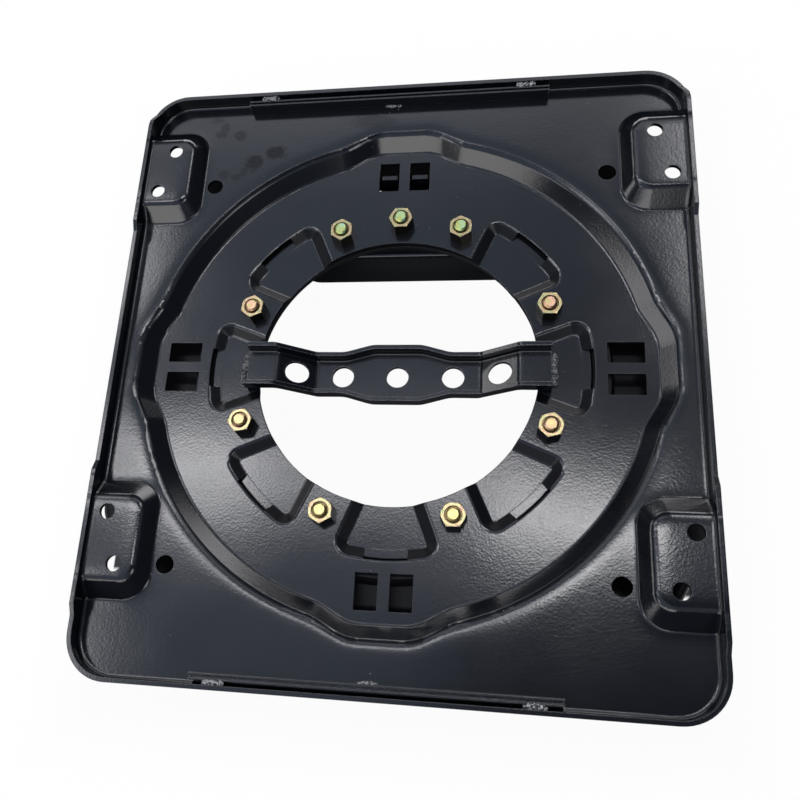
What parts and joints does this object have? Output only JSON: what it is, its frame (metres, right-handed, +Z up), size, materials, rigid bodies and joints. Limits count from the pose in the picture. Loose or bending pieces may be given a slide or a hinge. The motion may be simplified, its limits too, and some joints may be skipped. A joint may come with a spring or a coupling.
{
  "type": "swivel seat base",
  "caption": "Pressed steel swivel base for a van or camper seat, with a turning plate, a crossbar, a base pan and a drop latch.",
  "frame": {"origin": "on the swivel axis at the underside of the base pan's skirt", "axes": "+X to the right of the seat, +Y to the rear where the latch lever comes out, +Z up"},
  "size_m": [0.354, 0.375, 0.0665],
  "materials": {
    "black_coat": "black electrocoat over steel sheet, satin with a fine orange peel",
    "zinc_yellow": "yellow passivated zinc plate on steel",
    "ring_steel": "black coated steel, plain",
    "slip_plastic": "off-white acetal, matt",
    "spring_steel": "bare spring steel with an oil film",
    "pin_steel": "bright zinc plated steel",
    "grip_plastic": "black moulded plastic, fine grain",
    "weld_metal": "weld bead under black coat, rough"
  },
  "bodies": {
    "base": {"base_pan": "black_coat", "upper_slip_ring": "slip_plastic", "lower_slip_ring": "slip_plastic", "latch_hanger": "ring_steel", "latch_pin": "pin_steel", "pin_clip": "spring_steel", "latch_spring": "spring_steel"},
    "turntable": {"turntable_plate": "black_coat", "crossbar": "black_coat", "crossbar_weld_left": "weld_metal", "crossbar_weld_right": "weld_metal", "front_rail": "black_coat", "rear_rail": "black_coat", "front_rail_welds": "weld_metal", "rear_rail_welds": "weld_metal", "retaining_ring": "ring_steel", "clamp_bolts": "zinc_yellow", "bracket_bolts": "zinc_yellow", "lock_nuts": "zinc_yellow", "bolt_spacers": "pin_steel", "hanging_bracket": "black_coat"},
    "latch": {"latch_plate": "black_coat", "lever_grip": "grip_plastic"}
  },
  "joints": [
    {"name": "swivel", "type": "hinge", "parent": "base", "child": "turntable", "pos_m": [0, 0, 0.0425], "axis": [0, 0, 1], "continuous": true},
    {"name": "latch_lift", "type": "hinge", "parent": "base", "child": "latch", "pos_m": [0, 0.15, 0.015], "axis": [-1, 0, 0], "range_deg": [0, 12], "stiffness_Nm_per_rad": 0.5, "springref_deg": 12}
  ]
}
